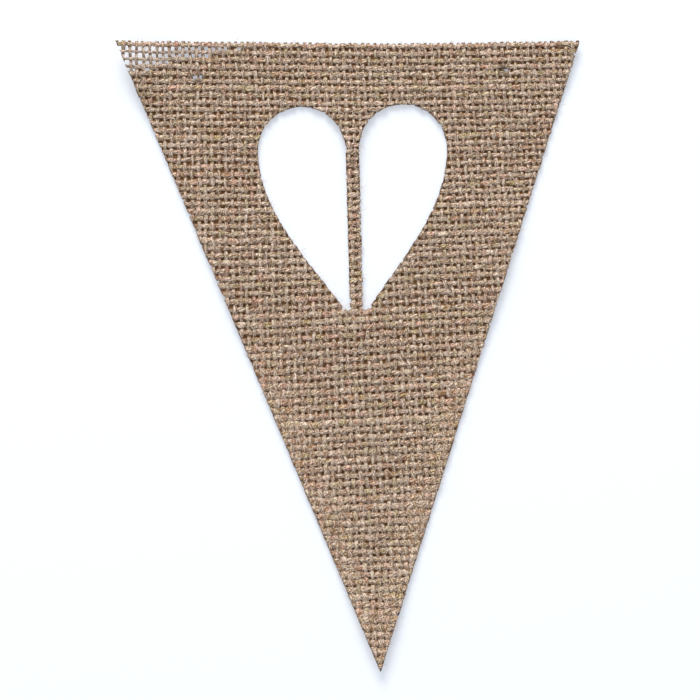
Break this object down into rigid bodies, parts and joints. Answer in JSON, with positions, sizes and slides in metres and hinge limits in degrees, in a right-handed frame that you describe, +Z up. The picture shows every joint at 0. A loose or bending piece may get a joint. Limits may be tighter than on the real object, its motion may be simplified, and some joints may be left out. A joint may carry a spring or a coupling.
{
  "type": "hessian bunting pennant",
  "caption": "Triangular jute hessian bunting flag with a stencil-cut heart and punched string holes near its top corners; lies flat or threads onto twine as part of a garland.",
  "frame": {"origin": "on the surface that the pennant lies on, under the middle of its box", "axes": "+X to the right along the top edge, +Y towards the top edge, +Z up out of the cloth's face"},
  "size_m": [0.14, 0.1906, 0.0058],
  "materials": {
    "jute_hessian": "matt plain weave of natural jute yarn, stiffened, raw die-cut edges"
  },
  "bodies": {
    "root": {"pennant": "jute_hessian"}
  },
  "joints": []
}
